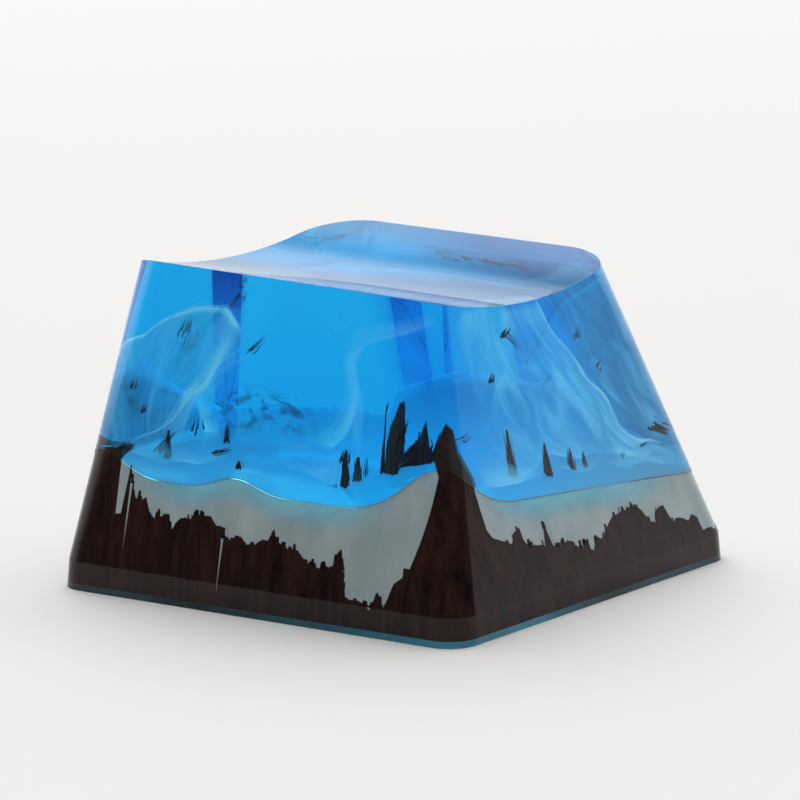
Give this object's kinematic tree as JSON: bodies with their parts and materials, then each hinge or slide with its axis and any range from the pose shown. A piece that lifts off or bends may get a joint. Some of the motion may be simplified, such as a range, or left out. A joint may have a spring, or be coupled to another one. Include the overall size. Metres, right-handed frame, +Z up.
{
  "type": "artisan keycap",
  "caption": "Keycap with a dished, sloping top: clear blue resin with white wisps over a milky layer and ragged dark wood, hollow below with a cross-socket stem.",
  "frame": {"origin": "middle of the skirt's lower edge, on the axis of the stem", "axes": "+X to the right, +Y to the back of the keyboard, +Z up through the key top"},
  "size_m": [0.0182, 0.0182, 0.012],
  "materials": {
    "dark_wood": "dark grain under a polished resin surface",
    "milky_resin": "polished milky white",
    "blue_resin": "polished clear blue with white wisps",
    "clear_resin": "clear teal, as cast"
  },
  "bodies": {
    "root": {"wood_base": "dark_wood", "white_resin_layer": "milky_resin", "blue_resin_cap": "blue_resin", "bell_wisp": "milky_resin", "column_wisp": "milky_resin", "stem_liner": "clear_resin"}
  },
  "joints": []
}
